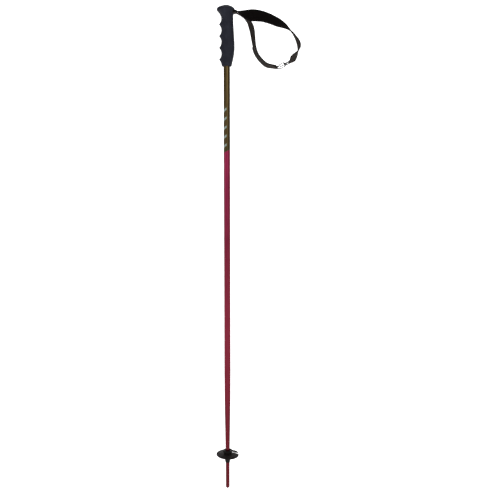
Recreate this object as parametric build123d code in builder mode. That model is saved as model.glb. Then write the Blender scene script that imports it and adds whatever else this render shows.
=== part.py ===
"""Alpine ski pole with a finger grip, an adjustable wrist strap and a push-on basket.

Origin at the point of the tip, +Z up the shaft, the strap leaves the grip towards +X and the
finger ridges face -X. All sizes are in millimetres.
"""

import os
from math import cos, radians, sin

from build123d import *

# ---------------------------------------------------------------- driving dimensions
pole_length = 1250.0

shaft_radius = 8.0
shaft_wall = 1.2
shaft_end_radius = 4.9
shaft_below_grip_top = 28.0
taper_top = 320.0
taper_knee = 240.0
taper_knee_radius = 7.5
taper_foot = 112.0
taper_foot_radius = 5.55
straight_end_top = 62.0
shaft_end_height = 5.0
shaft_end_chamfer = 0.7

tip_point_radius = 0.6
tip_head_radius = 2.9
tip_shank_radius = 2.0
tip_shank_length = 16.0
tip_insert_length = 20.0

basket_radius = 29.5
basket_rim_height = 94.5
basket_rim_thickness = 2.0
basket_rise = 4.2
basket_notch_width = 14.0
basket_notch_end_width = 8.0
basket_notch_reach = 17.5
basket_notch_rim_angle = 7.0
basket_notch_end_angle = 31.0
basket_notch_overshoot = 1.5
hub_height = 33.8
hub_foot_height = 73.7
hub_foot_wall = 0.75
hub_neck_radius = 9.3
hub_collar_radius = 12.6
hub_collar_height = 4.0
hub_flange_radius = 12.5
hub_flange_height = 1.5
disc_sleeve_wall = 1.3
disc_sleeve_height = 8.9

grip_length = 148.0
ridge_count = 4
ridge_first = 46.2
ridge_foot_margin = 16.45
ridge_shoulder = 5.0
groove_rubber = 2.4
ridge_rubber = 8.0
shoulder_rubber = 4.3
side_rubber = 4.2

core_wall = 2.0
core_foot = 2.0
core_head_drop = 22.0
core_top_drop = 7.0
core_front = 8.0
core_back = 9.0
core_ear = 2.2

cap_radius = 9.5
cap_centre_x = -1.5
cap_edge = 1.4
screw_shank_radius = 1.5
screw_head_radius = 3.0
screw_head_height = 1.8
screw_length = 9.5
screw_sink = 0.4
screw_cross_width = 0.9
screw_cross_depth = 1.2

webbing_width = 20.0
webbing_thickness = 1.5
pin_radius = 2.0
pin_x = 3.0
pin_drop = 15.75
strap_mouth_x = 22.0
end_loop_reach = 19.0
pad_width = 30.0
pad_thickness = 2.4
tab_thickness = 3.0

slider_length = 20.6
slider_side_bar = 2.4
slider_bar = 2.9
slider_thickness = 1.8
slider_tilt = -7.0
slider_pitch = 25.9
slider_dx = 119.8
slider_dz = -129.25
tail_stations = 5

# ---------------------------------------------------------------- clearances
seat_gap = 0.02
running_gap = 0.10
slot_gap = 0.6
pin_gap = 0.05
flange_step = 0.5
layer_gap = 0.3
body_gap = 0.3

os.makedirs("parts", exist_ok=True)


# ---------------------------------------------------------------- helpers
def shaft_outer_radius(height):
    """Outer radius of the tapered tube at a height above the tip's point."""
    knots = [
        (straight_end_top, shaft_end_radius),
        (taper_foot, taper_foot_radius),
        (taper_knee, taper_knee_radius),
        (taper_top, shaft_radius),
    ]
    if height <= knots[0][0]:
        return shaft_end_radius
    for (low, low_radius), (high, high_radius) in zip(knots, knots[1:]):
        if height <= high:
            return low_radius + (high_radius - low_radius) * (height - low) / (high - low)
    return shaft_radius


def ribbon_planes(stations):
    """Section planes of a ribbon, from (x, y, z, tilt) of its centre line.

    The ribbon's width lies along +Y where the tilt is 0, and turns towards the outside of the
    loop, which is to the left of its run, as the tilt grows. The plane's X is the width.
    """
    centres = [Vector(x, y, z) for x, y, z, tilt in stations]
    planes = []
    for index, (x, y, z, tilt) in enumerate(stations):
        before = centres[max(index - 1, 0)]
        after = centres[min(index + 1, len(stations) - 1)]
        run = (after - before).normalized()
        outward = Vector(0, -1, 0).cross(run).normalized()
        across = outward.cross(run).normalized()
        across = across if across.Y > 0 else across * -1
        width_way = across * cos(radians(tilt)) + outward * sin(radians(tilt))
        planes.append(Plane(origin=centres[index], x_dir=width_way, z_dir=run))
    return planes


def planes_across(points, width_way):
    """Section planes through points of a fold whose width keeps one direction."""
    planes = []
    for index, point in enumerate(points):
        before = points[max(index - 1, 0)]
        after = points[min(index + 1, len(points) - 1)]
        planes.append(Plane(origin=point, x_dir=width_way, z_dir=after - before))
    return planes


def outer_layer(plane):
    """The same section on the layer that lies outside this one."""
    step = webbing_thickness + layer_gap
    return Plane(origin=plane.origin + plane.y_dir * step, x_dir=plane.x_dir, z_dir=plane.z_dir)


def finish(part, name):
    """Label a finished sub-part and write its STEP file."""
    part.label = name
    export_step(part, f"parts/{name}.step")


# ---------------------------------------------------------------- shaft tube
shaft_top = pole_length - shaft_below_grip_top

with BuildPart() as shaft_tube:
    with BuildSketch(Plane.XZ):
        with BuildLine():
            Polyline(
                (shaft_end_radius - shaft_wall, shaft_end_height),
                (shaft_end_radius - shaft_end_chamfer, shaft_end_height),
                (shaft_end_radius, shaft_end_height + 2 * shaft_end_chamfer),
                (shaft_end_radius, straight_end_top),
                (taper_foot_radius, taper_foot),
                (taper_knee_radius, taper_knee),
                (shaft_radius, taper_top),
                (shaft_radius, shaft_top),
                (shaft_radius - shaft_wall, shaft_top),
                (shaft_radius - shaft_wall, taper_top),
                (taper_knee_radius - shaft_wall, taper_knee),
                (taper_foot_radius - shaft_wall, taper_foot),
                (shaft_end_radius - shaft_wall, straight_end_top),
                close=True,
            )
        make_face()
    revolve(axis=Axis.Z)
finish(shaft_tube.part, "shaft_tube")

# ---------------------------------------------------------------- tip
shaft_end_bore = shaft_end_radius - shaft_wall

with BuildPart() as tip_insert:
    with BuildSketch(Plane.XY.offset(shaft_end_height)):
        Circle(shaft_end_bore - seat_gap)
        Circle(tip_shank_radius + seat_gap, mode=Mode.SUBTRACT)
    extrude(amount=tip_insert_length)
    chamfer(tip_insert.edges().filter_by(GeomType.CIRCLE).sort_by(Axis.Z)[-1], 0.4)
finish(tip_insert.part, "tip_insert")

with BuildPart() as steel_tip:
    with BuildSketch(Plane.XZ):
        with BuildLine():
            Polyline(
                (0, 0),
                (tip_point_radius, 0),
                (tip_head_radius, shaft_end_height - seat_gap),
                (tip_shank_radius, shaft_end_height - seat_gap),
                (tip_shank_radius, shaft_end_height + tip_shank_length),
                (0, shaft_end_height + tip_shank_length),
                close=True,
            )
        make_face()
    revolve(axis=Axis.Z)
finish(steel_tip.part, "steel_tip")

# ---------------------------------------------------------------- basket
hub_top = hub_foot_height + hub_height
collar_foot = hub_top - hub_collar_height
flange_top = basket_rim_height - flange_step
flange_foot = flange_top - hub_flange_height
hub_foot_radius = shaft_outer_radius(hub_foot_height) + running_gap + hub_foot_wall

with BuildPart() as basket_hub:
    with BuildSketch(Plane.XZ):
        with BuildLine():
            Polyline(
                (shaft_outer_radius(hub_foot_height) + running_gap, hub_foot_height),
                (hub_foot_radius, hub_foot_height),
                (hub_foot_radius + 0.5, hub_foot_height + 4.5),
                (hub_foot_radius + 1.8, hub_foot_height + 9.0),
                (hub_foot_radius + 4.4, hub_foot_height + 14.3),
                (hub_flange_radius, flange_foot),
                (hub_flange_radius, flange_top),
                (hub_neck_radius, flange_top),
                (hub_neck_radius, collar_foot),
                (hub_collar_radius, collar_foot),
                (hub_collar_radius, hub_top - 0.8),
                (hub_collar_radius - 0.9, hub_top),
                (hub_collar_radius - 4.2, hub_top),
                (shaft_outer_radius(collar_foot) + running_gap, collar_foot),
                close=True,
            )
        make_face()
    revolve(axis=Axis.Z)
finish(basket_hub.part, "basket_hub")

disc_bore = hub_neck_radius + running_gap
disc_foot = flange_top + body_gap
disc_sleeve_radius = disc_bore + disc_sleeve_wall
notch_rim_centre = basket_radius + basket_notch_overshoot
notch_cut_depth = 10.0

with BuildPart() as basket_disc:
    with BuildSketch(Plane.XZ):
        with BuildLine():
            Polyline(
                (disc_bore, disc_foot),
                (disc_sleeve_radius + 2.6, disc_foot + 0.8),
                (basket_radius - 2.5, basket_rim_height - basket_rim_thickness + 0.4),
                (basket_radius, basket_rim_height - basket_rim_thickness),
                (basket_radius, basket_rim_height),
                (disc_sleeve_radius, basket_rim_height + basket_rise),
                (disc_sleeve_radius, disc_foot + disc_sleeve_height),
                (disc_bore, disc_foot + disc_sleeve_height),
                close=True,
            )
        make_face()
    revolve(axis=Axis.Z)
    with BuildSketch(Plane.XY.offset(basket_rim_height - notch_cut_depth)):
        with PolarLocations(basket_notch_reach, 1, start_angle=basket_notch_end_angle):
            Circle(basket_notch_end_width / 2)
        with PolarLocations(notch_rim_centre, 1, start_angle=basket_notch_rim_angle):
            Circle(basket_notch_width / 2)
        make_hull()
    extrude(amount=2 * notch_cut_depth, mode=Mode.SUBTRACT)
finish(basket_disc.part, "basket_disc")

# ---------------------------------------------------------------- grip core
grip_foot = pole_length - grip_length
core_outer_radius = shaft_radius + core_wall
core_head_foot = pole_length - core_head_drop
core_top = pole_length - core_top_drop
pin_height = pole_length - pin_drop
layer_offset = pin_radius + pin_gap + webbing_thickness / 2
slot_half_height = layer_offset + webbing_thickness / 2 + slot_gap
slot_half_width = webbing_width / 2 + slot_gap
core_half_width = slot_half_width + core_ear
slot_front = pin_x - slot_half_height
head_length = core_front + core_back
head_centre_x = (core_back - core_front) / 2
head_height = core_top - core_head_foot
screw_head_top = pole_length - screw_sink
screw_foot = screw_head_top - screw_length

with BuildPart() as core_envelope:
    with BuildSketch(Plane.XY.offset(grip_foot + core_foot)):
        Circle(core_outer_radius)
    extrude(amount=core_head_foot - grip_foot - core_foot)
    with BuildSketch(Plane.XY.offset(core_head_foot)):
        with Locations((head_centre_x, 0)):
            RectangleRounded(head_length, 2 * core_half_width, 3.0)
    extrude(amount=head_height)

with BuildPart() as grip_core:
    add(core_envelope.part)
    with BuildSketch(Plane.XY.offset(grip_foot + core_foot)):
        Circle(shaft_radius + seat_gap)
    extrude(amount=shaft_top + seat_gap - grip_foot - core_foot, mode=Mode.SUBTRACT)
    with BuildSketch(Plane.YZ.offset(slot_front)):
        with Locations((0, pin_height)):
            Rectangle(2 * slot_half_width, 2 * slot_half_height)
    extrude(amount=head_length, mode=Mode.SUBTRACT)
    with BuildSketch(Plane.XZ.offset(-core_half_width)):
        with Locations((pin_x, pin_height)):
            Circle(pin_radius + seat_gap)
    extrude(amount=2 * core_half_width, mode=Mode.SUBTRACT)
    with BuildSketch(Plane.XY.offset(screw_foot - seat_gap)):
        with Locations((cap_centre_x, 0)):
            Circle(screw_shank_radius + seat_gap)
    extrude(amount=core_top - screw_foot + 1, mode=Mode.SUBTRACT)
finish(grip_core.part, "grip_core")

# ---------------------------------------------------------------- grip shell
# Each section is an ellipse: drop below the top, depth in front, depth behind, half width.
# The head widens with the block inside it, and the rest keeps its rubber over the core.
head_sections = [
    (2.0, 13.5, 11.0, core_half_width - 2.8),
    (4.1, 19.5, 15.5, core_half_width + 1.8),
    (6.5, 22.3, 18.3, core_half_width + 4.1),
    (9.5, 23.6, 20.1, core_half_width + 5.2),
    (12.0, 23.5, 20.2, core_half_width + 5.4),
    (14.5, 22.0, 19.4, core_half_width + 4.9),
    (18.5, 18.3, 18.0, core_half_width + 4.0),
    (22.0, 16.0, 17.4, core_half_width + 3.4),
    (26.0, core_outer_radius + 3.6, core_outer_radius + 6.6, core_half_width + 2.4),
]
foot_sections = [
    (grip_length - 8.0, core_outer_radius + 3.8, core_outer_radius + 3.9, core_outer_radius + 2.6),
    (grip_length - 3.5, core_outer_radius + 2.2, core_outer_radius + 2.7, core_outer_radius + 1.9),
    (grip_length, core_outer_radius + 1.4, core_outer_radius + 2.2, core_outer_radius + 1.6),
]
palm_knots = [
    (26.0, 6.6),
    (45.0, 6.9),
    (grip_length - 52.0, 9.8),
    (grip_length - 36.0, 9.4),
    (grip_length - 8.0, 3.9),
]


def palm_rubber(drop):
    """Rubber over the core on the smooth palm side, which swells low on the grip."""
    for (high, high_rubber), (low, low_rubber) in zip(palm_knots, palm_knots[1:]):
        if drop <= low:
            return high_rubber + (low_rubber - high_rubber) * (drop - high) / (low - high)
    return palm_knots[-1][1]


ridge_pitch = (grip_length - ridge_first - ridge_foot_margin) / (ridge_count - 1)
finger_sections = [(ridge_first - ridge_pitch / 2, groove_rubber)]
for ridge in range(ridge_count):
    peak = ridge_first + ridge * ridge_pitch
    finger_sections.append((peak - ridge_shoulder, shoulder_rubber))
    finger_sections.append((peak, ridge_rubber))
    finger_sections.append((peak + ridge_shoulder, shoulder_rubber))
    if ridge < ridge_count - 1:
        finger_sections.append((peak + ridge_pitch / 2, groove_rubber))
body_sections = []
for drop, rubber in finger_sections:
    front = core_outer_radius + rubber
    back = core_outer_radius + palm_rubber(drop)
    body_sections.append((drop, front, back, core_outer_radius + side_rubber))
grip_sections = head_sections + body_sections + foot_sections

with BuildPart() as grip_shell:
    for drop, front, back, half_width in grip_sections:
        with BuildSketch(Plane(origin=((back - front) / 2, 0, pole_length - drop))):
            Ellipse((back + front) / 2, half_width)
    loft(ruled=True)
    add(core_envelope.part, mode=Mode.SUBTRACT)
    with BuildSketch(Plane.XY.offset(grip_foot)):
        Circle(shaft_radius + seat_gap)
    extrude(amount=core_foot, mode=Mode.SUBTRACT)
    with BuildSketch(Plane.YZ.offset(core_back - 1)):
        with Locations((0, pin_height)):
            Rectangle(2 * slot_half_width, 2 * slot_half_height)
    extrude(amount=head_length, mode=Mode.SUBTRACT)
    with BuildSketch(Plane.XY.offset(core_top)):
        with Locations((cap_centre_x, 0)):
            Circle(cap_radius + seat_gap)
    extrude(amount=core_top_drop, mode=Mode.SUBTRACT)
finish(grip_shell.part, "grip_shell")

# ---------------------------------------------------------------- cap, its screw and the anchor pin
with BuildPart() as top_cap:
    with BuildSketch(Plane.XY.offset(core_top)):
        with Locations((cap_centre_x, 0)):
            Circle(cap_radius)
    extrude(amount=core_top_drop)
    chamfer(top_cap.edges().group_by(Axis.Z)[-1], cap_edge)
    with Locations((cap_centre_x, 0, pole_length)):
        CounterBoreHole(
            radius=screw_shank_radius + seat_gap,
            counter_bore_radius=screw_head_radius + seat_gap,
            counter_bore_depth=screw_sink + screw_head_height,
        )
finish(top_cap.part, "top_cap")

with BuildPart() as cap_screw:
    with BuildSketch(Plane.XY.offset(screw_foot)):
        with Locations((cap_centre_x, 0)):
            Circle(screw_shank_radius)
    extrude(amount=screw_length)
    with BuildSketch(Plane.XY.offset(screw_head_top)):
        with Locations((cap_centre_x, 0)):
            Circle(screw_head_radius)
    extrude(amount=seat_gap - screw_head_height)
    with BuildSketch(Plane.XY.offset(screw_head_top)):
        with Locations((cap_centre_x, 0)):
            Rectangle(2 * screw_head_radius - 2, screw_cross_width)
            Rectangle(screw_cross_width, 2 * screw_head_radius - 2)
    extrude(amount=-screw_cross_depth, mode=Mode.SUBTRACT)
finish(cap_screw.part, "cap_screw")

with BuildPart() as anchor_pin:
    with BuildSketch(Plane.XZ.offset(-core_half_width + seat_gap)):
        with Locations((pin_x, pin_height)):
            Circle(pin_radius)
    extrude(amount=2 * (core_half_width - seat_gap))
finish(anchor_pin.part, "anchor_pin")

# ---------------------------------------------------------------- strap, inside the grip
loop_outer_radius = layer_offset + webbing_thickness / 2
loop_inner_radius = layer_offset - webbing_thickness / 2
leg_length = end_loop_reach - pin_x

with BuildPart() as strap_end_loop:
    with BuildSketch(Plane.XZ.offset(-webbing_width / 2)):
        with Locations((pin_x, pin_height)):
            Circle(loop_outer_radius)
            with Locations((leg_length / 2, 0)):
                Rectangle(leg_length, 2 * loop_outer_radius)
            Circle(loop_inner_radius, mode=Mode.SUBTRACT)
            with Locations((leg_length / 2, 0)):
                Rectangle(leg_length, 2 * loop_inner_radius, mode=Mode.SUBTRACT)
    extrude(amount=webbing_width)
finish(strap_end_loop.part, "strap_end_loop")

# ---------------------------------------------------------------- slider of the strap
slider_centre = Vector(strap_mouth_x + slider_dx, 0, pin_height + slider_dz)
pitch = radians(slider_pitch)
tilt = radians(slider_tilt)
slider_plane = Plane(
    origin=slider_centre,
    x_dir=(cos(pitch), 0, sin(pitch)),
    z_dir=(-sin(pitch) * cos(tilt), sin(tilt), cos(pitch) * cos(tilt)),
)
slider_window = (slider_length - 3 * slider_bar) / 2
slider_slot_width = webbing_width + 2 * slot_gap
slider_width = slider_slot_width + 2 * slider_side_bar
window_offset = (slider_bar + slider_window) / 2
end_bar_offset = slider_bar + slider_window

with BuildPart() as strap_slider:
    with BuildSketch(slider_plane.offset(-slider_thickness / 2)):
        RectangleRounded(slider_length, slider_width, 2.0)
        with GridLocations(2 * window_offset, 1, 2, 1):
            Rectangle(slider_window, slider_slot_width, mode=Mode.SUBTRACT)
    extrude(amount=slider_thickness)
finish(strap_slider.part, "strap_slider")


# ---------------------------------------------------------------- strap, outside the grip
def at_slider(along, above):
    """A point beside the slider: along its length and above its inner face."""
    return slider_plane.from_local_coords(Vector(along, 0, above))


def from_mouth(route):
    """Stations given from the slot's mouth, as x, y, z and tilt in the pole's frame."""
    return [(strap_mouth_x + x, y, pin_height + z, tilt) for x, y, z, tilt, *_ in route]


def station_at_slider(along, above):
    """A station of the webbing beside the slider, tilted as the slider is."""
    point = at_slider(along, above)
    return (point.X, point.Y, point.Z, slider_tilt)


# Hand-laid stations of each run's centre line, from the slot's mouth: x, y, z, tilt, and the
# width on the pad.
pad_route = [
    (0.0, 0.0, layer_offset - 0.4, 3.0, webbing_width),
    (5.0, 0.0, 1.2, 12.0, webbing_width + 0.5),
    (11.0, 0.0, -0.4, 27.0, webbing_width + 2.0),
    (19.5, 0.0, -3.4, 50.0, pad_width - 5.0),
    (28.5, 0.0, -6.0, 68.0, pad_width - 2.0),
    (37.5, 0.0, -7.8, 82.0, pad_width),
    (52.0, 0.0, -8.6, 86.0, pad_width),
    (68.0, 0.0, -10.6, 83.0, pad_width),
    (81.0, 0.0, -14.6, 76.0, pad_width),
    (93.0, 0.0, -19.6, 63.0, pad_width),
    (107.0, 0.0, -26.4, 47.0, pad_width),
    (121.0, 0.0, -33.4, 31.0, pad_width - 2.0),
    (133.0, 0.0, -41.6, 14.0, pad_width - 6.0),
    (143.4, 0.0, -51.1, 4.0, webbing_width),
]
tab_route = [
    (143.4, 0.0, -51.1, 4.0),
    (150.9, 0.0, -61.0, -6.0),
    (156.5, 0.0, -72.5, -16.0),
    (158.4, 0.0, -84.0, -15.0),
    (155.4, 0.0, -96.0, 0.0),
    (149.2, 0.0, -106.6, 24.0),
    (142.2, 0.0, -115.0, 33.0),
    (135.4, 0.0, -120.8, 12.0),
    (130.1, 0.0, -124.0, slider_tilt),
]
behind_pad = webbing_width / 2
lower_route = [
    (103.5, 0.8, -132.2, 6.0),
    (92.5, 0.4, -131.6, 15.0),
    (78.5, 0.0, -128.6, 20.0),
    (65.2, 0.0, -118.0, 20.0),
    (55.3, 0.0, -106.0, 20.0),
    (49.0, 0.0, -91.8, 20.0),
    (45.8, 0.5, -75.5, 20.0),
    (44.0, 2.0, -62.5, 25.0),
    (42.0, 4.5, -47.5, 32.0),
    (37.4, behind_pad, -30.5, 36.0),
    (31.0, behind_pad + 2.5, -19.0, 22.0),
    (21.5, behind_pad + 2.0, -11.4, 2.0),
    (11.0, behind_pad - 2.5, -7.2, -5.0),
    (4.0, 1.0, -layer_offset - 1.2, -1.0),
    (0.0, 0.0, -layer_offset, 0.0),
]

pad_planes = ribbon_planes(from_mouth(pad_route))
with BuildPart() as strap_pad:
    for plane, station in zip(pad_planes, pad_route):
        with BuildSketch(plane):
            Rectangle(station[4], pad_thickness)
    loft(ruled=True)
finish(strap_pad.part, "strap_pad")

tab_planes = ribbon_planes(from_mouth(tab_route))
tab_planes[0] = pad_planes[-1]
eye_inner_radius = (slider_bar**2 + slider_thickness**2) ** 0.5 / 2 + layer_gap
eye_outer_radius = eye_inner_radius + webbing_thickness
eye_plane = Plane(
    origin=at_slider(end_bar_offset, 0) - slider_plane.y_dir * (webbing_width / 2),
    z_dir=slider_plane.y_dir,
)
with BuildPart() as slider_tab:
    for plane in tab_planes:
        with BuildSketch(plane):
            Rectangle(webbing_width, tab_thickness)
    loft(ruled=True)
    with BuildSketch(eye_plane):
        Circle(eye_outer_radius)
    extrude(amount=webbing_width)
    with BuildSketch(eye_plane.offset(-1)):
        Circle(eye_inner_radius)
    extrude(amount=webbing_width + 2, mode=Mode.SUBTRACT)
finish(slider_tab.part, "slider_tab")

over_slider = [(1.6, 5.6), (-3.0, 6.0), (-7.5, 5.0), (-12.0, 3.8)]
under_slider = [(1.0, -3.9), (-4.5, -4.2), (-9.5, -4.3), (-15.5, -1.8)]
through_slider = [(3.0, -3.2), (3.6, -1.6), (3.6, 2.6), (3.2, 4.6)]

lower_stations = [station_at_slider(*pair) for pair in over_slider] + from_mouth(lower_route)
lower_planes = ribbon_planes(lower_stations)
with BuildPart() as webbing_lower:
    for plane in lower_planes:
        with BuildSketch(plane):
            Rectangle(webbing_width, webbing_thickness)
    loft(ruled=True)
finish(webbing_lower.part, "webbing_lower")

first_tail = len(over_slider) + 1
under_planes = ribbon_planes([station_at_slider(*pair) for pair in under_slider])
tail_planes = under_planes + [
    outer_layer(plane) for plane in lower_planes[first_tail : first_tail + tail_stations]
]
with BuildPart() as webbing_tail:
    for plane in tail_planes:
        with BuildSketch(plane):
            Rectangle(webbing_width, webbing_thickness)
    loft(ruled=True)
finish(webbing_tail.part, "webbing_tail")

fold_points = [at_slider(*pair) for pair in through_slider]
fold_planes = [tail_planes[0]] + planes_across(fold_points, slider_plane.y_dir) + [lower_planes[0]]
with BuildPart() as webbing_fold:
    for plane in fold_planes:
        with BuildSketch(plane):
            Rectangle(webbing_width, webbing_thickness)
    loft(ruled=True)
finish(webbing_fold.part, "webbing_fold")
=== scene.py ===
from math import pi, radians

import bmesh
import bpy
import numpy as np
from mathutils import Matrix, Vector


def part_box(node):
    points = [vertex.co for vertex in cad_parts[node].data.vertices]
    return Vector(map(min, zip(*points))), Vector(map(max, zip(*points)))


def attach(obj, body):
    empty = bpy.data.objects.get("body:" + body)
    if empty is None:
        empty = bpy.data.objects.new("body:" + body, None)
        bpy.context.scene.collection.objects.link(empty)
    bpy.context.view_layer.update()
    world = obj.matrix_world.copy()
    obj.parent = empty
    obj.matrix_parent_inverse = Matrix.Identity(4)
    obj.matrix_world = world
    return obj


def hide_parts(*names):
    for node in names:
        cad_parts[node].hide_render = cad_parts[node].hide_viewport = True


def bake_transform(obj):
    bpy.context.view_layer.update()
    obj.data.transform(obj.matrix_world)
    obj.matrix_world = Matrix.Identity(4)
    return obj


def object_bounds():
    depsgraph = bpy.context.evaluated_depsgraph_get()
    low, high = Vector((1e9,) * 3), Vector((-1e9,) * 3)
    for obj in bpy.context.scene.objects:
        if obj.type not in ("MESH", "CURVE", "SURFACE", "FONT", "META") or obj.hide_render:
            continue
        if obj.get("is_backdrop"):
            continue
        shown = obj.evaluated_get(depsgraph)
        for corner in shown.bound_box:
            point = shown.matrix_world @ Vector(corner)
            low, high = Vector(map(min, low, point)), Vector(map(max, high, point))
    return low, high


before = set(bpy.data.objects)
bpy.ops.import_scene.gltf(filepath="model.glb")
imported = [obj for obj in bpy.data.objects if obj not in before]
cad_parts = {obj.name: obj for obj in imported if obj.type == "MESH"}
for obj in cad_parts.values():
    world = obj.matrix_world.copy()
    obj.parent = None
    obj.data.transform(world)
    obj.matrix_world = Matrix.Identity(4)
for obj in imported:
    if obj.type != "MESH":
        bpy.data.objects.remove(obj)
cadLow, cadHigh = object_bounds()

mm = 0.001
fullTurn = 2 * pi


# ---- small tools for shapes

# Scales vectors to length 1.
def unit(vectors):
    return vectors / np.linalg.norm(vectors, axis=-1, keepdims=True)


# 0 before the first value, 1 after the second, and 3t^2 - 2t^3 between them.
def easeStep(value, first, second):
    t = np.clip((value - first) / (second - first), 0, 1)
    return t * t * (3 - 2 * t)


# Hermite cubics through rows of numbers whose first three are a place. The slope at each row is
# that of the parabola through its neighbours, and the samples are evenly spaced along the chords.
def smoothRows(rows, spacing, places=3):
    rows = np.array(rows, float)
    gap = np.linalg.norm(np.diff(rows[:, :places], axis=0), axis=1)
    at = np.concatenate([[0], np.cumsum(gap)])
    slope = np.gradient(rows, at, axis=0, edge_order=2)
    t = np.linspace(0, at[-1], int(at[-1] / spacing) + 2)
    i = np.clip(np.searchsorted(at, t, side="right") - 1, 0, len(at) - 2)
    h = (at[i + 1] - at[i])[:, None]
    s = (t - at[i])[:, None] / h
    start = (2 * s**3 - 3 * s**2 + 1) * rows[i] + (s**3 - 2 * s**2 + s) * h * slope[i]
    return start + (3 * s**2 - 2 * s**3) * rows[i + 1] + (s**3 - s**2) * h * slope[i + 1]


# Rounds the corners of a profile: a parabola from one side of each corner to the other.
def softened(profile, reach, steps=4):
    corner = np.array(profile, float)
    before, after = corner[:-2] - corner[1:-1], corner[2:] - corner[1:-1]
    longBefore = np.linalg.norm(before, axis=1, keepdims=True)
    longAfter = np.linalg.norm(after, axis=1, keepdims=True)
    cut = np.minimum(reach, 0.45 * np.minimum(longBefore, longAfter))
    first = (corner[1:-1] + before / longBefore * cut)[:, None]
    last = (corner[1:-1] + after / longAfter * cut)[:, None]
    s = np.linspace(0, 1, steps + 1)[None, :, None]
    arc = (1 - s) ** 2 * first + 2 * s * (1 - s) * corner[1:-1][:, None] + s**2 * last
    return np.concatenate([corner[:1], arc.reshape(-1, 2), corner[-1:]])


# Grid of quads over rows x columns points, repeated for each copy of the grid.
def gridFaces(copies, rows, columns, start):
    i, j = np.meshgrid(np.arange(rows - 1), np.arange(columns - 1), indexing="ij")
    a = (i * columns + j).ravel()
    quads = np.stack([a, a + 1, a + columns + 1, a + columns], axis=1)
    return (start + np.arange(copies)[:, None, None] * rows * columns + quads).reshape(-1, 4)


# Joins patches, each a grid of points in millimetres with a grid of UV, into one closed mesh in
# metres. Doubled points on the seams are merged, and the faces turned outwards.
def makePiece(name, patches, material, sharp=38):
    points, coords, faces, start = [], [], [], 0
    for grid, uv in patches:
        copies = grid.reshape((-1,) + grid.shape[-3:])
        points.append(copies.reshape(-1, 3) * mm)
        coords.append(np.broadcast_to(uv, grid.shape[:-1] + (2,)).reshape(-1, 2))
        faces.append(gridFaces(copies.shape[0], copies.shape[1], copies.shape[2], start))
        start += len(points[-1])
    points, coords, faces = (np.concatenate(part) for part in (points, coords, faces))
    mesh = bpy.data.meshes.new(name)
    mesh.from_pydata(points.tolist(), [], faces.tolist())
    layer = mesh.uv_layers.new(name="surface")
    layer.data.foreach_set("uv", coords[faces.ravel()].astype(np.float32).ravel())
    work = bmesh.new()
    work.from_mesh(mesh)
    bmesh.ops.remove_doubles(work, verts=work.verts, dist=0.002 * mm)
    bmesh.ops.recalc_face_normals(work, faces=work.faces)
    work.to_mesh(mesh)
    work.free()
    mesh.shade_smooth()
    mesh.set_sharp_from_angle(angle=radians(sharp))
    mesh.materials.append(material)
    piece = bpy.data.objects.new(name, mesh)
    bpy.context.scene.collection.objects.link(piece)
    return piece


# A turned patch: each profile point (radius, height) goes once round an upright axis. The swell
# is added to the radius, as a function of angle and height. U is the turn, V the height in m.
def turned(profile, centreX=0.0, steps=96, swell=None):
    angle = np.linspace(0, fullTurn, steps + 1)[None, :]
    radius, height = (np.array(profile, float)[:, k][:, None] for k in (0, 1))
    if swell is not None:
        radius = radius + swell(angle, height) * (radius > 0)
    grid = np.stack(
        [centreX + radius * np.cos(angle), radius * np.sin(angle), height + 0 * angle], axis=-1
    )
    uv = np.stack([angle / fullTurn + 0 * height, height * mm + 0 * angle], axis=-1)
    return grid, uv


# ---- small tools for materials

# Linear colour from the 0-255 numbers of a paint chart.
def tone(red, green, blue):
    c = np.array([red, green, blue]) / 255
    linear = np.where(c <= 0.04045, c / 12.92, ((c + 0.055) / 1.055) ** 2.4)
    return (*linear.tolist(), 1.0)


# Adds a node. Inputs that are sockets are linked, the others are set.
def put(tree, kind, inputs=None, **settings):
    node = tree.nodes.new("ShaderNode" + kind)
    for key, value in settings.items():
        setattr(node, key, value)
    for key, value in (inputs or {}).items():
        if isinstance(value, bpy.types.NodeSocket):
            tree.links.new(value, node.inputs[key])
        else:
            node.inputs[key].default_value = value
    return node


# One arithmetic step on two or three values or sockets.
def calc(tree, operation, *values):
    return put(tree, "Math", dict(enumerate(values)), operation=operation).outputs[0]


# Mixes two colours, each a socket or a colour, by a factor.
def blendTones(tree, factor, first, second, mode="MIX"):
    node = put(tree, "Mix", {0: factor, 6: first, 7: second}, data_type="RGBA", blend_type=mode)
    return node.outputs[2]


# Moves a value from one range to another.
def remap(tree, value, low, high, newLow, newHigh, smooth=False):
    kind = "SMOOTHSTEP" if smooth else "LINEAR"
    inputs = {0: value, 1: low, 2: high, 3: newLow, 4: newHigh}
    return put(tree, "MapRange", inputs, interpolation_type=kind).outputs[0]


# Noise on a vector, its size given in waves per metre.
def grain(tree, vector, scale, detail=3.0, rough=0.5):
    inputs = {"Vector": vector, "Scale": scale, "Detail": detail, "Roughness": rough}
    return put(tree, "TexNoise", inputs).outputs[0]


# Starts a material and returns it with its tree, shader, object coordinates and UV.
def startMaterial(name, **shaderValues):
    material = bpy.data.materials.new(name)
    material.use_nodes = True
    tree = material.node_tree
    shader = tree.nodes["Principled BSDF"]
    for key, value in shaderValues.items():
        shader.inputs[key.replace("_", " ")].default_value = value
    coords = put(tree, "TexCoord")
    return material, tree, shader, coords.outputs["Object"], coords.outputs["UV"]


# Links the colour, the roughness and a bump made from a height in metres.
def wire(tree, shader, colour=None, roughness=None, height=None, strength=1.0, metallic=None):
    for key, value in (("Base Color", colour), ("Roughness", roughness), ("Metallic", metallic)):
        if value is not None:
            tree.links.new(value, shader.inputs[key])
    if height is not None:
        bump = put(tree, "Bump", {"Height": height, "Distance": 1.0, "Strength": strength})
        tree.links.new(bump.outputs[0], shader.inputs["Normal"])


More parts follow.
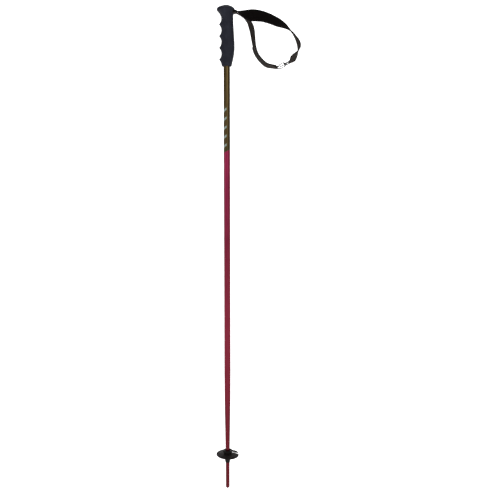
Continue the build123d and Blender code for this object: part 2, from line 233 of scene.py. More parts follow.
# Stretches a vector along the axes.
def stretched(tree, vector, x, y, z):
    return put(tree, "Mapping", {"Vector": vector, "Scale": (x, y, z)}).outputs[0]


# ---- finishes

tubePaint = {
    "olive": tone(96, 80, 50), "greenOlive": tone(74, 82, 50),
    # The dark red at the foot is painted shade, offsetting the floor's light on the lower tube.
    "magenta": tone(174, 54, 91), "crimson": tone(137, 46, 64), "footShadeRed": tone(92, 30, 38),
    "mark": tone(150, 166, 156),
    "boundary": 0.892, "boundaryRise": 0.5, "boundaryBlur": 0.0004, "greenReach": 0.012,
    "magentaFoot": 0.55, "footShadeLow": 0.02, "footShadeHigh": 0.62,
    "brushDepth": 0.000006, "inkDepth": 0.00003, "metal": 0.9,
    "markLow": 0.9005, "markPitch": 0.0222, "markShare": 0.27, "markRise": 0.034,
    "markLeft": 0.478, "markRight": 0.738,
}


# Anodised tube: olive above a slanted line, magenta below it, fading to crimson lower down and to a
# darker red at the foot; that darker red at the foot is painted shade against the floor's light on the
# lower tube. The brushing is noise stretched along the tube. Five slanted bars are printed on one
# side, wherever the fraction of (height - rise * turn) / pitch is under the bar's share.
def anodisedTube():
    s = tubePaint
    material, tree, shader, spot, uv = startMaterial(
        "anodisedTube", Metallic=s["metal"], Roughness=0.34, Specular_Tint=(0.16, 0.13, 0.13, 1.0)
    )
    split = put(tree, "SeparateXYZ", {0: spot})
    x, z = split.outputs[0], split.outputs[2]
    turns = put(tree, "SeparateXYZ", {0: uv})
    u, v = turns.outputs[0], turns.outputs[1]
    brushing = grain(tree, stretched(tree, spot, 2600, 2600, 34), 1.0, 4.0, 0.6)
    cloud = grain(tree, spot, 26, 3.0)
    edge = calc(tree, "SUBTRACT", z, calc(tree, "MULTIPLY", x, s["boundaryRise"]))
    isOlive = remap(
        tree, edge, s["boundary"] - s["boundaryBlur"], s["boundary"] + s["boundaryBlur"], 0, 1
    )
    high = remap(tree, z, s["magentaFoot"], s["boundary"], 0, 1, smooth=True)
    # The darker red at the foot, easing up to crimson, is painted shade against the floor's light.
    low = remap(tree, z, s["footShadeLow"], s["footShadeHigh"], 0, 1, smooth=True)
    red = blendTones(tree, high, blendTones(tree, low, s["footShadeRed"], s["crimson"]), s["magenta"])
    tint = remap(tree, edge, s["boundary"], s["boundary"] + s["greenReach"], 0.7, 0)
    olive = blendTones(tree, tint, s["olive"], s["greenOlive"])
    colour = blendTones(tree, isOlive, red, olive)
    shadeBy = remap(tree, brushing, 0.25, 0.75, 0.80, 1.12)
    shade = put(tree, "CombineColor", {0: shadeBy, 1: shadeBy, 2: shadeBy}).outputs[0]
    colour = blendTones(tree, 1.0, colour, shade, "MULTIPLY")
    slanted = calc(tree, "SUBTRACT", v, calc(tree, "MULTIPLY", u, s["markRise"]))
    first = s["markLow"] - 0.6 * s["markRise"]
    cell = calc(tree, "FRACT", calc(tree, "DIVIDE", calc(tree, "SUBTRACT", slanted, first), s["markPitch"]))
    bar = calc(tree, "LESS_THAN", cell, s["markShare"])
    top = first + 4 * s["markPitch"] + s["markShare"] * s["markPitch"]
    for test, value, limit in (
        ("GREATER_THAN", slanted, first), ("LESS_THAN", slanted, top),
        ("GREATER_THAN", u, s["markLeft"]), ("LESS_THAN", u, s["markRight"]),
    ):
        bar = calc(tree, "MULTIPLY", bar, calc(tree, test, value, limit))
    colour = blendTones(tree, bar, colour, s["mark"])
    rough = remap(tree, calc(tree, "ADD", brushing, cloud), 0.6, 1.4, 0.24, 0.44)
    rough = calc(tree, "MAXIMUM", rough, calc(tree, "MULTIPLY", bar, 0.55))
    metal = remap(tree, bar, 0, 1, s["metal"], 0.0)
    brushed = calc(tree, "MULTIPLY", brushing, s["brushDepth"])
    height = calc(tree, "ADD", brushed, calc(tree, "MULTIPLY", bar, s["inkDepth"]))
    wire(tree, shader, colour, rough, height, 0.5, metal)
    return material


# Moulded plastic or rubber: a base colour clouded by slow noise, fine moulding grain as bump, and
# rubbed places where a middling noise is high, lighter and smoother.
def moulded(name, base, rubbed, rough, grainSize=1500, depth=0.00003, wear=0.5, **more):
    material, tree, shader, spot, _ = startMaterial(name, **more)
    cloud = grain(tree, spot, 60, 4.0)
    fine = grain(tree, spot, grainSize, 2.0)
    rubbing = remap(tree, grain(tree, spot, 170, 5.0, 0.65), 0.52, 0.72, 0, wear, smooth=True)
    colour = blendTones(tree, remap(tree, cloud, 0.3, 0.7, 0, 0.5), base, rubbed)
    colour = blendTones(tree, calc(tree, "MULTIPLY", rubbing, 0.6), colour, rubbed)
    clouded = remap(tree, cloud, 0.3, 0.7, rough, rough + 0.12)
    roughness = calc(tree, "SUBTRACT", clouded, calc(tree, "MULTIPLY", rubbing, 0.12))
    wire(tree, shader, colour, roughness, calc(tree, "MULTIPLY", fine, depth), 1.0)
    return material


# Turned steel: rings from a wave in height, dulled by clouds.
def steel(name, base, rough):
    material, tree, shader, spot, _ = startMaterial(name, Metallic=1.0)
    rings = grain(tree, stretched(tree, spot, 60, 60, 5200), 1.0, 2.0)
    cloud = grain(tree, spot, 420, 4.0)
    dark = tuple(0.55 * c for c in base[:3]) + (1.0,)
    colour = blendTones(tree, remap(tree, cloud, 0.35, 0.7, 0, 0.8), base, dark)
    roughness = remap(tree, calc(tree, "ADD", rings, cloud), 0.6, 1.4, rough - 0.08, rough + 0.16)
    wire(tree, shader, colour, roughness, calc(tree, "MULTIPLY", rings, 0.000012), 0.7)
    return material


# Woven strap. UV is in millimetres: U across and V along. Ribs are a sine along V whose phase
# shifts with a zigzag in U, threads are a finer sine in U, and the edges are darker.
def woven(name, base, light, ribPitch, threadPitch, zigzag, halfWidth, rough, relief, gloss=0.1):
    material, tree, shader, spot, uv = startMaterial(name, Specular_IOR_Level=gloss)
    split = put(tree, "SeparateXYZ", {0: uv})
    across, along = split.outputs[0], split.outputs[1]
    fold = calc(tree, "PINGPONG", across, zigzag)
    ribTurn = calc(tree, "MULTIPLY", along, fullTurn / ribPitch)
    phase = calc(tree, "ADD", ribTurn, calc(tree, "MULTIPLY", fold, 2.2))
    rib = remap(tree, calc(tree, "SINE", phase), -1, 1, 0, 1)
    threadTurn = calc(tree, "MULTIPLY", across, fullTurn / threadPitch)
    thread = remap(tree, calc(tree, "SINE", threadTurn), -1, 1, 0, 1)
    fuzz = grain(tree, spot, 2400, 3.0)
    cloud = grain(tree, spot, 90, 4.0)
    weave = calc(tree, "ADD", calc(tree, "MULTIPLY", rib, 0.65), calc(tree, "MULTIPLY", thread, 0.35))
    colour = blendTones(tree, weave, base, light)
    # Towards the edges of the width the colour goes back to the darker base.
    edgeDarkening = remap(tree, calc(tree, "ABSOLUTE", across), halfWidth * 0.80, halfWidth, 0, 0.55)
    colour = blendTones(tree, edgeDarkening, colour, base)
    colour = blendTones(tree, remap(tree, cloud, 0.35, 0.7, 0, 0.35), colour, base)
    ribHeight = calc(tree, "MULTIPLY", weave, relief)
    height = calc(tree, "ADD", ribHeight, calc(tree, "MULTIPLY", fuzz, relief * 0.35))
    wire(tree, shader, colour, remap(tree, fuzz, 0.3, 0.7, rough - 0.06, rough + 0.06), height, 1.0)
    return material


print("stage 1: finishes")
tubeFinish = anodisedTube()
gripFinish = moulded(
    "gripRubber", tone(26, 27, 37), tone(47, 50, 60), 0.54, 1700, 0.000030, Specular_IOR_Level=0.16
)
capFinish = moulded("capPlastic", tone(17, 17, 19), tone(38, 38, 40), 0.34, 1300, 0.000012)
basketFinish = moulded(
    "basketPlastic", tone(15, 12, 11), tone(35, 31, 29), 0.46, 900, 0.000024, Specular_IOR_Level=0.07
)
# The hub's plastic is the basket plastic painted darker: painted shade for the collar, neck and funnel,
# which sit in the collar's and disc's shade.
hubShadedFinish = moulded(
    "hubShadedPlastic", tone(9, 7, 6), tone(24, 21, 20), 0.40, 900, 0.000020, Specular_IOR_Level=0.10
)
sliderFinish = moulded("sliderPlastic", tone(16, 16, 17), tone(40, 40, 42), 0.30, 1300, 0.000012)
coreFinish = moulded("corePlastic", tone(48, 48, 50), tone(70, 70, 72), 0.5)
insertFinish = moulded("insertPlastic", tone(30, 30, 30), tone(50, 50, 50), 0.5)
steelFinish = steel("tipSteel", tone(92, 92, 90), 0.34)
screwFinish = steel("screwSteel", tone(120, 120, 122), 0.34)
padFinish = woven("padFabric", tone(8, 6, 6), tone(21, 17, 16), 1.1, 0.9, 1.4, 15.0, 0.9, 0.00010, 0.03)
webFinish = woven(
    "ribbedWebbing", tone(22, 19, 18), tone(66, 60, 56), 2.0, 1.0, 2.6, 10.0, 0.8, 0.00022, 0.05
)
threadFinish = moulded("sewingThread", tone(24, 22, 22), tone(62, 58, 56), 0.7, 3000, 0.00002)

for node, finish in {
    "tip_insert": insertFinish, "grip_core": coreFinish, "anchor_pin": screwFinish,
    "cap_screw": screwFinish,
}.items():
    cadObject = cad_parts[node]
    cadObject.data.materials.clear()
    cadObject.data.materials.append(finish)


# Names the body that a piece rides on and the CAD nodes that it stands for, which are hidden.
# The slot name is not used.
def place(piece, body, slotName, *nodes):
    if body:
        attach(piece, body)
    if nodes:
        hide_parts(*nodes)
    return piece


# ---- tube and tip

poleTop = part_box("top_cap")[1].z / mm
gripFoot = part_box("grip_shell")[0].z / mm
tube = {
    "wall": 1.2, "endRadius": 4.9, "endHeight": 5.0, "straightTop": 62.0, "footRadius": 5.55,
    "footHeight": 112.0, "kneeRadius": 7.5, "kneeHeight": 240.0, "radius": 8.0,
    "taperTop": 320.0, "top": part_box("shaft_tube")[1].z / mm, "rolledEdge": 1.1,
}


# The tube's wall: up the outside of the taper, over the top, and down the inside.
def tubeProfile():
    t = tube
    outer = [
        (t["endRadius"] - 0.5, t["endHeight"]), (t["endRadius"], t["endHeight"] + 1.2),
        (t["endRadius"], t["straightTop"]), (t["footRadius"], t["footHeight"]),
        (t["kneeRadius"], t["kneeHeight"]), (t["radius"], t["taperTop"]), (t["radius"], t["top"]),
    ]
    inner = [(r - t["wall"], z) for r, z in outer[:1:-1]] + [(t["endRadius"] - t["wall"], t["endHeight"])]
    return softened(outer + inner + outer[:1], t["rolledEdge"])


shaft = makePiece("shaftTube", [turned(tubeProfile(), steps=128)], tubeFinish)
place(shaft, "pole", "anodised_tube", "shaft_tube")

tipShape = [
    (0, 0.0), (0.35, 0.05), (0.6, 0.35), (2.15, 3.3), (2.9, 4.35), (2.9, 4.9), (2.0, 4.98),
    (2.0, 21.0), (0, 21.0),
]
tip = makePiece("steelTip", [turned(softened(tipShape, 0.25), steps=64)], steelFinish)
place(tip, "pole", "tip_steel", "steel_tip")
print("stage 2: tube and tip")


# ---- basket

hub = {
    "foot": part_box("basket_hub")[0].z / mm, "top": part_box("basket_hub")[1].z / mm,
    "flangeTop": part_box("basket_disc")[0].z / mm + 1.5,
    "collar": 12.6, "collarHeight": 4.0, "neck": 9.3, "flange": 12.5,
    "ribCount": 14, "ribHeight": 0.38,
}


# Moulded ribs down the funnel: a sharp cosine round the hub that fades out above and below.
def hubRibs(angle, height):
    above = height - hub["foot"]
    fade = easeStep(above, 1.5, 4) * (1 - easeStep(above, 11, 15))
    return hub["ribHeight"] * fade * np.clip(np.cos(hub["ribCount"] * angle), 0, 1) ** 2


# The hub's wall: up the funnel, the flange, the neck and the collar, then down the bore.
def hubProfile():
    foot, top, flangeTop = hub["foot"], hub["top"], hub["flangeTop"]
    collarFoot, collar = top - hub["collarHeight"], hub["collar"]
    profile = [
        (5.2, foot), (5.92, foot), (6.3, foot + 4.5), (7.0, foot + 7.6), (8.2, foot + 11),
        (10.2, foot + 15.4), (hub["flange"], flangeTop - 1.6), (hub["flange"], flangeTop),
        (hub["neck"], flangeTop), (hub["neck"], collarFoot), (collar, collarFoot),
        (collar, top - 1.0), (collar - 1.3, top), (collar - 3.9, top), (6.4, collarFoot + 0.8),
        (5.62, collarFoot), (5.3, foot + 12), (5.2, foot),
    ]
    return softened(profile, 0.45)


# Stations added along a profile so that ribs and fades have points to bend.
def refined(profile, spacing):
    profile = np.array(profile, float)
    gap = np.linalg.norm(np.diff(profile, axis=0), axis=1)
    at = np.concatenate([[0], np.cumsum(gap)])
    t = np.union1d(at, np.arange(0, at[-1], spacing))
    return np.stack([np.interp(t, at, profile[:, k]) for k in (0, 1)], axis=1)


# Its finish is the basket plastic darkened as painted shade.
basketHub = makePiece(
    "basketHub", [turned(refined(hubProfile(), 0.8), steps=168, swell=hubRibs)], hubShadedFinish
)
place(basketHub, "basket_mount", "basket_plastic", "basket_hub")

disc = {
    "rim": 29.5, "bore": 9.4, "sleeve": 10.7, "sleeveTop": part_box("basket_disc")[1].z / mm,
    "rimHeight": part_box("basket_disc")[0].z / mm + 2.0, "rise": 4.3,
    "notchStart": 13.4, "notchAngle": 31.0, "notchSwirl": 22.5, "notchHalf": 4.0,
    "notchRimHalf": 4.4, "notchFlare": 2.6, "lean": 3.0, "sideLean": 1.3, "lobeLift": 1.9,
    "lobeThick": 1.3, "hookLift": 1.1, "thick": 1.5, "rimThick": 2.0,
    "ribCount": 12, "ribDepth": 1.1, "markCount": 6, "markAngle": -57.0, "markDepth": 0.9,
}


# Half the notch's width at a radius, as an angle: a round end, then a straight flare to the rim.
def notchHalf(radius):
    d = disc
    centre = d["notchStart"] + d["notchHalf"]
    roundEnd = np.sqrt(np.clip(d["notchHalf"] ** 2 - np.clip(centre - radius, 0, None) ** 2, 0, None))
    flare = (d["notchRimHalf"] - d["notchHalf"]) * np.clip((radius - centre) / (d["rim"] - centre), 0, 1)
    tips = d["notchFlare"] * np.clip((radius - d["rim"] + 2.2) / 2.2, 0, 1) ** 2
    return (roundEnd + flare + tips) / radius


# The notch's middle line: it swirls backwards as it nears the rim.
def notchMiddle(radius):
    d = disc
    centre = d["notchStart"] + d["notchHalf"]
    outward = np.clip((radius - centre) / (d["rim"] - centre), 0, 1)
    return radians(d["notchAngle"]) - radians(d["notchSwirl"]) * outward**0.75


# The disc in polar coordinates. The turn runs from one side of the notch to the other, so the
# notch is where the turn is missing. Height: rise * (1 - s^1.35), lifted beside the notch, with
# shallow dents near the rim; the underside follows it at the plate's thickness, and deeper at
# the ribs and under the lobe. The whole plate leans to one side and forward, as if flexed.
def basketDisc():
    d = disc
    inner = np.linspace(d["sleeve"], d["notchStart"], 7)
    outer = d["notchStart"] + (d["rim"] - d["notchStart"]) * np.linspace(0, 1, 34) ** 1.15
    radius = np.concatenate([inner[:-1], outer])[:, None]
    t = np.linspace(0, 1, 361)[None, :]
    start, end = notchMiddle(radius) + notchHalf(radius), notchMiddle(radius) - notchHalf(radius) + fullTurn
    angle = start + (end - start) * t
    s = (radius - d["sleeve"]) / (d["rim"] - d["sleeve"])
    dome = d["rimHeight"] + d["rise"] * (1 - s**1.35)
    lift = d["lobeLift"] * s**1.2 * (1 - easeStep(t, 0.0, 0.17))
    lift = lift + d["hookLift"] * s**4 * easeStep(t, 0.955, 1.0)
    mark = np.clip(np.cos(d["markCount"] * (angle - radians(d["markAngle"]))), 0, 1) ** 6
    mark = mark * easeStep(s, 0.70, 0.76) * (1 - easeStep(s, 0.90, 0.955))
    mark = mark * easeStep(t, 0.03, 0.05) * (1 - easeStep(t, 0.93, 0.96))
    rib = np.clip(np.cos(d["ribCount"] * angle), 0, 1) ** 8
    rib = rib * (1 - easeStep(s, 0.72, 0.98)) * easeStep(s, 0.02, 0.1)
    step = np.clip((1 - s) / 0.06, 0, 1)
    rounding = 0.45 * (1 - np.sqrt(1 - (1 - step) ** 2))
    thick = d["thick"] + (d["rimThick"] - d["thick"]) * easeStep(s, 0.86, 0.93)
    thick = thick + 0.9 * (1 - easeStep(s, 0.0, 0.22))
    thick = thick + d["ribDepth"] * rib * (1 - 0.7 * easeStep(lift, 0.5, 2))
    thick = thick + d["lobeThick"] * (1 - easeStep(t, 0.02, 0.12)) * easeStep(s, 0.2, 0.5)
    lean = radius * np.sin(angle) * np.tan(radians(d["lean"]))
    lean = lean * easeStep(radius, d["sleeve"] + 0.5, d["sleeve"] + 8)
    lean = lean + d["sideLean"] * (1 - np.cos(angle)) * s
    top, under = dome + lift + lean - d["markDepth"] * mark, dome + lift + lean - thick
    upper = np.stack([radius * np.cos(angle), radius * np.sin(angle), top - rounding], axis=-1)
    lower = np.stack([radius * np.cos(angle), radius * np.sin(angle), under + rounding], axis=-1)
    uv = np.stack([radius + 0 * t, angle * 10], axis=-1) * mm
    middle = (upper[-1] + lower[-1]) / 2
    middle[:, :2] *= (d["rim"] + 0.25) / d["rim"]
    rimBand = np.stack([upper[-1], middle, lower[-1]])
    wallFrom = len(inner) - 1
    patches = [(upper, uv), (lower[::-1], uv[::-1]), (rimBand, uv[:3] * 0)]
    for side in (0, -1):
        wall = np.stack([upper[wallFrom:, side], lower[wallFrom:, side]])
        patches.append((wall, np.zeros(wall.shape[:2] + (2,))))
        tipFan = np.stack([rimBand[:, side], rimBand[[0, 0, 2], side]])
        patches.append((tipFan, np.zeros((2, 3, 2))))
    around = angle[0]
    bore = d["bore"]
    sleeveRows = [
        (d["sleeve"], None), (d["sleeve"], d["sleeveTop"] - 0.4), (d["sleeve"] - 0.4, d["sleeveTop"]),
        (bore, d["sleeveTop"]), (bore, d["rimHeight"] - 0.1),
    ]
    rows = [upper[0]]
    for r, z in sleeveRows[1:]:
        rows.append(np.stack([r * np.cos(around), r * np.sin(around), z + 0 * around], axis=-1))
    rows.append(lower[0])
    sleeve = np.stack(rows)
    patches.append((sleeve, np.zeros(sleeve.shape[:2] + (2,))))
    return makePiece("basketDisc", patches, basketFinish, sharp=45)


basketPlate = basketDisc()
place(basketPlate, "basket", "basket_plastic", "basket_disc")
print("stage 3: basket")


# ---- grip

frontSwell = np.array([0, 1.0, 0, 0])   # the rubber bulges this far in front
# Drop below the top, depth in front, depth behind and half width of the rubber's sections.
gripSections = frontSwell + np.array([
    (2.0, 13.5, 11.0, 10.2), (2.9, 16.6, 13.2, 12.4), (4.1, 19.5, 15.5, 14.6),
    (6.5, 22.4, 18.3, 16.9), (9.5, 23.6, 20.1, 18.0), (12.0, 23.4, 20.2, 18.2),
    (14.5, 21.9, 19.4, 17.7), (18.5, 18.3, 18.0, 16.8), (22.0, 15.8, 17.3, 16.2),
    (26.0, 13.8, 16.6, 15.2), (31.0, 12.6, 16.6, 14.5), (37.0, 12.4, 16.7, 14.2),
    (45.0, 12.4, 16.9, 14.2), (60.0, 12.4, 17.8, 14.2), (78.0, 12.4, 18.9, 14.2),
    (96.0, 12.4, 19.8, 14.2), (112.0, 12.4, 19.3, 14.2), (122.0, 12.4, 17.9, 14.1),
    (132.0, 12.4, 15.8, 13.6), (140.0, 12.4, 13.9, 12.8), (144.5, 12.0, 12.8, 12.1),
    (148.0, 11.4, 12.2, 11.6),
])
grip = {
    "ridgeFirst": 46.2, "ridgePitch": 28.45, "ridgeCount": 4, "ridgeHeight": 5.6,
    "ridgeFalloff": 2.5, "ridgeCrown": 0.55, "grooveAngle": 57.0, "grooveWidth": 5.0,
    "grooveDepth": 0.55, "slotHalfWidth": 10.6, "slotHigh": 11.5, "slotLow": 20.0,
    "slotBack": 2.0, "tubeBore": 8.0, "capCentre": -1.5, "capRadius": 9.5, "capSeat": 7.0,
}


# Finger ridges: each falls off from its crest as a power of the distance along the grip.
def fingerRidges(drop):
    g, total = grip, 0 * drop
    for k in range(g["ridgeCount"]):
        away = drop - g["ridgeFirst"] - k * g["ridgePitch"]
        away = np.sqrt(away**2 + g["ridgeCrown"] ** 2) - g["ridgeCrown"]
        share = np.clip(1 - away / (g["ridgePitch"] / 2), 0, 1)
        total = total + g["ridgeHeight"] * share ** g["ridgeFalloff"]
    return total


# Half ellipses in front and behind, with the ridges added in front and fading round the sides,
# and a narrow parting groove beside them. Angle 0 is the palm side.
def gripPoints(drop, angle):
    g = grip
    front, back, half = (smoothRowsAt(drop, k) for k in (1, 2, 3))
    centre, reach = (back - front) / 2, (back + front) / 2
    x, y = centre + reach * np.cos(angle), half * np.sin(angle)
    fromFront = np.abs(np.degrees(angle) - 180)
    x = x - fingerRidges(drop) * (1 - easeStep(fromFront, 12, 62))
    groove = np.exp(-(((fromFront - g["grooveAngle"]) / g["grooveWidth"]) ** 2))
    groove = groove * easeStep(drop, 26, 34) * (1 - easeStep(drop, 132, 140))
    inward = g["grooveDepth"] * groove
    x, y = x - inward * np.cos(angle), y - inward * np.sin(angle)
    return np.stack([x, y, poleTop - drop + 0 * angle], axis=-1)


# One column of the sections, read off Hermite cubics at any drop.
def smoothRowsAt(drop, column):
    table = smoothRows(gripSections[:, [0, column]], 0.1, places=1)
    return np.interp(drop, table[:, 0], table[:, 1])


# The rubber: outside, rolled rims, the cap's seat, the tube's bore, and the strap's slot, whose
# sides follow grid lines of the outside.
def gripRubber():
    g = grip
    highRows, slotRows = np.linspace(2.0, g["slotHigh"], 14), np.linspace(g["slotHigh"], g["slotLow"], 10)
    lowRows = np.concatenate([np.arange(g["slotLow"], 144.4, 0.62), np.linspace(144.5, 147.4, 5)])
    palm, rest = np.linspace(-1, 1, 25), np.linspace(0, 1, 120)

    def columns(drop):
        half = smoothRowsAt(drop, 3)[:, None]
        side = np.arcsin(g["slotHalfWidth"] / np.clip(half, g["slotHalfWidth"] * 1.04, None))
        return side * palm[None, :], side + (fullTurn - 2 * side) * rest[None, :]

    def surface(drop):
        near, far = columns(drop)
        return gripPoints(drop[:, None], np.mod(near, fullTurn)), gripPoints(drop[:, None], far)

    patches, pieces = [], {}
    for key, drops in (("high", highRows), ("slot", slotRows), ("low", lowRows)):
        pieces[key] = surface(drops)
    for key in ("high", "slot", "low"):
        near, far = pieces[key]
        patches.append(far)
        if key != "slot":
            patches.append(near)
    near = pieces["slot"][0]
    inside = near.copy()
    inside[..., 0] = g["slotBack"]
    patches.append(inside)
    for outerEdge, innerEdge in (
        (near[0], inside[0]), (near[-1], inside[-1]),
        (near[:, 0], inside[:, 0]), (near[:, -1], inside[:, -1]),
    ):
        patches.append(np.stack([outerEdge, innerEdge]))
    for side in (0, 1):
        topRow, footRow = pieces["high"][side][0], pieces["low"][side][-1]
        around = np.mod(columns(highRows[:1])[side], fullTurn)
        aroundFoot = np.mod(columns(lowRows[-1:])[side], fullTurn)

        def ring(angles, radius, centre, height):
            turn = angles[0]
            return np.stack(
                [centre + radius * np.cos(turn), radius * np.sin(turn), height + 0 * turn], axis=-1
            )

        seatTop, seat = poleTop - 2.0, poleTop - g["capSeat"]
        capAt, capR = g["capCentre"], g["capRadius"] + 0.02
        patches.append(np.stack([
            topRow, ring(around, capR + 0.25, capAt, seatTop + 0.16), ring(around, capR, capAt, seatTop),
            ring(around, capR, capAt, seat), ring(around, 0, capAt, seat),
        ]))
        rolled = footRow * np.array([0.965, 0.965, 1]) - np.array([0, 0, 0.6])
        patches.append(np.stack([
            footRow, rolled, ring(aroundFoot, g["tubeBore"] + 0.15, 0, gripFoot),
            ring(aroundFoot, g["tubeBore"], 0, gripFoot + 0.5),
            ring(aroundFoot, g["tubeBore"], 0, tube["top"]), ring(aroundFoot, 0, 0, tube["top"]),
        ]))
    return makePiece("gripRubber", [(p, p[..., :2] * mm) for p in patches], gripFinish, sharp=50)


rubber = gripRubber()
place(rubber, "pole", "grip_rubber", "grip_shell")

# Radius and drop below the top, from the seat up the side, over the ring and into the screw hole.
capShape = [
    (0, 6.95), (9.45, 6.95), (9.5, 2.8), (9.15, 1.1), (8.0, 0.3), (6.9, 0.05), (6.6, 0.35),
    (6.1, 0.35), (5.8, 0.0), (3.5, 0.0), (3.05, 0.4), (3.05, 2.25), (0, 2.25),
]
capProfile = softened([(radius, poleTop - drop) for radius, drop in capShape], 0.3)
cap = makePiece("topCap", [turned(capProfile, grip["capCentre"], 96)], capFinish)
place(cap, "pole", "cap_plastic", "top_cap")
print("stage 4: grip")


# ---- strap

pinLow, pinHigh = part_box("anchor_pin")
pinAt = np.array([(pinLow.x + pinHigh.x) / 2, 0, (pinLow.z + pinHigh.z) / 2]) / mm
mouth = pinAt + np.array([19.0, 0, 0])
strap = {
    "width": 20.0, "thickness": 1.5, "layerOffset": 2.8, "layerStep": 1.8, "legEnd": 12.0,
    "padThickness": 2.4, "sliderPitch": 25.9, "sliderTilt": -7.0, "endBar": 8.85, "eyeRadius": 2.78,
    "sliderAt": np.array([141.8, 0, 1105.0]),
}
# Stations from the slot's mouth: x, y, z, tilt, width and thickness. Where the tilt is 0 the
# width lies along +Y; it turns towards the outside of the loop as the tilt grows.
padRoute = [
    (-7.0, 0, 2.8, 0, 20, 1.5), (-3.0, 0, 2.7, 1, 20, 1.6), (0, 0, 2.4, 3, 20, 2.2),
    (5.0, 0, 1.2, 12, 20.5, 2.4), (11.0, 0, -0.4, 27, 22, 2.4), (19.5, 0, -3.4, 50, 25, 2.4),
    (28.5, 0, -6.0, 68, 28, 2.4), (37.5, 0, -7.8, 82, 30, 2.4), (52.0, 0, -8.8, 82, 30, 2.4),
    (68.0, 0, -11.2, 71, 30, 2.4), (81.0, 0, -15.2, 65, 30, 2.4), (93.0, 0, -20.0, 59, 30, 2.4),
    (107.0, 0, -26.4, 52, 30, 2.4), (121.0, 0, -33.4, 37, 28, 2.4), (133.0, 0, -41.8, 19, 24, 2.4),
    (142.8, 0, -51.4, 4, 20, 2.2),
]
tabRoute = [
    (138.2, 0, -46.6, 9), (142.8, 0, -51.4, 4), (149.9, 0, -61.6, -5), (156.2, 0, -72.8, -17),
    (158.5, 0, -84.0, -16), (155.4, 0, -96.0, 4), (148.4, 0, -106.4, 34), (142.0, 0, -114.8, 42),
    (137.6, 0, -119.3, 18),
]
lowerRoute = [
    (103.5, 0.8, -132.2, 6), (92.5, 0.4, -131.6, 15), (78.5, 0, -128.6, 20), (65.2, 0, -118.0, 20),
    (55.3, 0, -106.0, 20), (49.0, 0, -91.8, 23), (45.8, 0.5, -75.5, 26), (44.0, 2.0, -62.5, 31),
    (42.0, 4.5, -47.5, 37), (37.4, 10.0, -30.5, 36), (31.0, 12.5, -19.0, 22), (21.5, 12.0, -11.0, 2),
    (11.0, 7.5, -6.0, -5), (4.0, 1.0, -3.4, -1), (0, 0, -2.8, 0), (-3.5, 0, -2.8, 0), (-7.0, 0, -2.8, 0),
]
overSlider = [(1.6, 5.6), (-3.0, 6.0), (-7.5, 5.0), (-12.0, 3.8)]
underSlider = [(1.0, -3.9), (-4.5, -4.2), (-9.5, -4.3), (-15.5, -1.8)]
throughSlider = [(3.0, -3.2), (3.75, -1.6), (4.0, 0.6), (3.8, 3.0), (3.1, 4.8)]
tailLayers = 6

pitch, tilt = radians(strap["sliderPitch"]), radians(strap["sliderTilt"])
sliderX = np.array([np.cos(pitch), 0, np.sin(pitch)])
sliderZ = np.array([-np.sin(pitch) * np.cos(tilt), np.sin(tilt), np.cos(pitch) * np.cos(tilt)])
sliderY = np.cross(sliderZ, sliderX)


# Places beside the slider, from pairs of distance along it and height above its inner face.
def atSlider(pairs):
    pairs = np.array(pairs, float)
    return strap["sliderAt"] + pairs[:, :1] * sliderX + pairs[:, 1:2] * sliderZ


# Turns stations into places and width directions. The outward side is left of the run.
def widthWays(centres, tilts):
    first, last = centres[1:2] - centres[:1], centres[-1:] - centres[-2:-1]
    run = unit(np.concatenate([first, centres[2:] - centres[:-2], last]))
    outward = unit(np.cross([0, -1.0, 0], run))
    across = unit(np.cross(outward, run))
    across = across * np.sign(across[:, 1:2])
    turn = np.radians(tilts)[:, None]
    return across * np.cos(turn) + outward * np.sin(turn)


# Frames of a ribbon from rows of place, width direction, width and thickness.
def ribbonFrames(rows, spacing=1.0):
    path = smoothRows(rows, spacing)
    centre = path[:, :3]
    run = unit(np.gradient(centre, axis=0))
    side = path[:, 3:6] - np.sum(path[:, 3:6] * run, axis=1, keepdims=True) * run
    side = unit(side)
    normal = np.cross(run, side)
    along = np.concatenate([[0], np.cumsum(np.linalg.norm(np.diff(centre, axis=0), axis=1))])
    return {"centre": centre, "run": run, "side": side, "normal": normal, "along": along,
            "width": path[:, 6], "thick": path[:, 7]}


# Half the thickness across the ribbon: round edges, thicker binding, and a sewn channel.
def acrossShape(w, thickToWidth, binding, channel, crown):
    edge = np.clip((np.abs(w) - (1 - thickToWidth)) / thickToWidth, 0, 1)
    shape = np.sqrt(1 - edge**2) * (1 + binding * easeStep(np.abs(w), 0.86, 0.9))
    sewn = np.exp(-(((np.abs(w) - 0.82) / 0.035) ** 2))
    return shape * (1 + crown * (1 - w**2)) - channel * sewn


# A ribbon: the outer face, the inner face and the two cut ends. UV is in millimetres.
def ribbon(name, frames, material, binding=0.0, channel=0.0, crown=0.0, ripple=None):
    turnIn = np.sin(np.linspace(-pi / 2, pi / 2, 33))
    w = np.sign(turnIn) * np.abs(turnIn) ** 0.9
    half = frames["width"][:, None] / 2
    thick = frames["thick"][:, None] / 2
    shape = acrossShape(w[None, :], np.clip(thick / half, 0.02, 0.5), binding, channel, crown)
    lift = 0 if ripple is None else ripple(frames["along"][:, None], w[None, :])
    sideways = frames["centre"][:, None] + frames["side"][:, None] * (half * w)[..., None]
    faces = []
    for sign in (1, -1):
        height = sign * (thick * shape + lift)
        faces.append(sideways + frames["normal"][:, None] * height[..., None])
    uv = np.stack(np.broadcast_arrays(half * w[None, :], frames["along"][:, None]), axis=-1)
    ends = [(np.stack([faces[0][k], faces[1][k]]), np.stack([uv[k], uv[k]])) for k in (0, -1)]
    return makePiece(name, [(faces[0], uv), (faces[1], uv)] + ends, material, sharp=60)


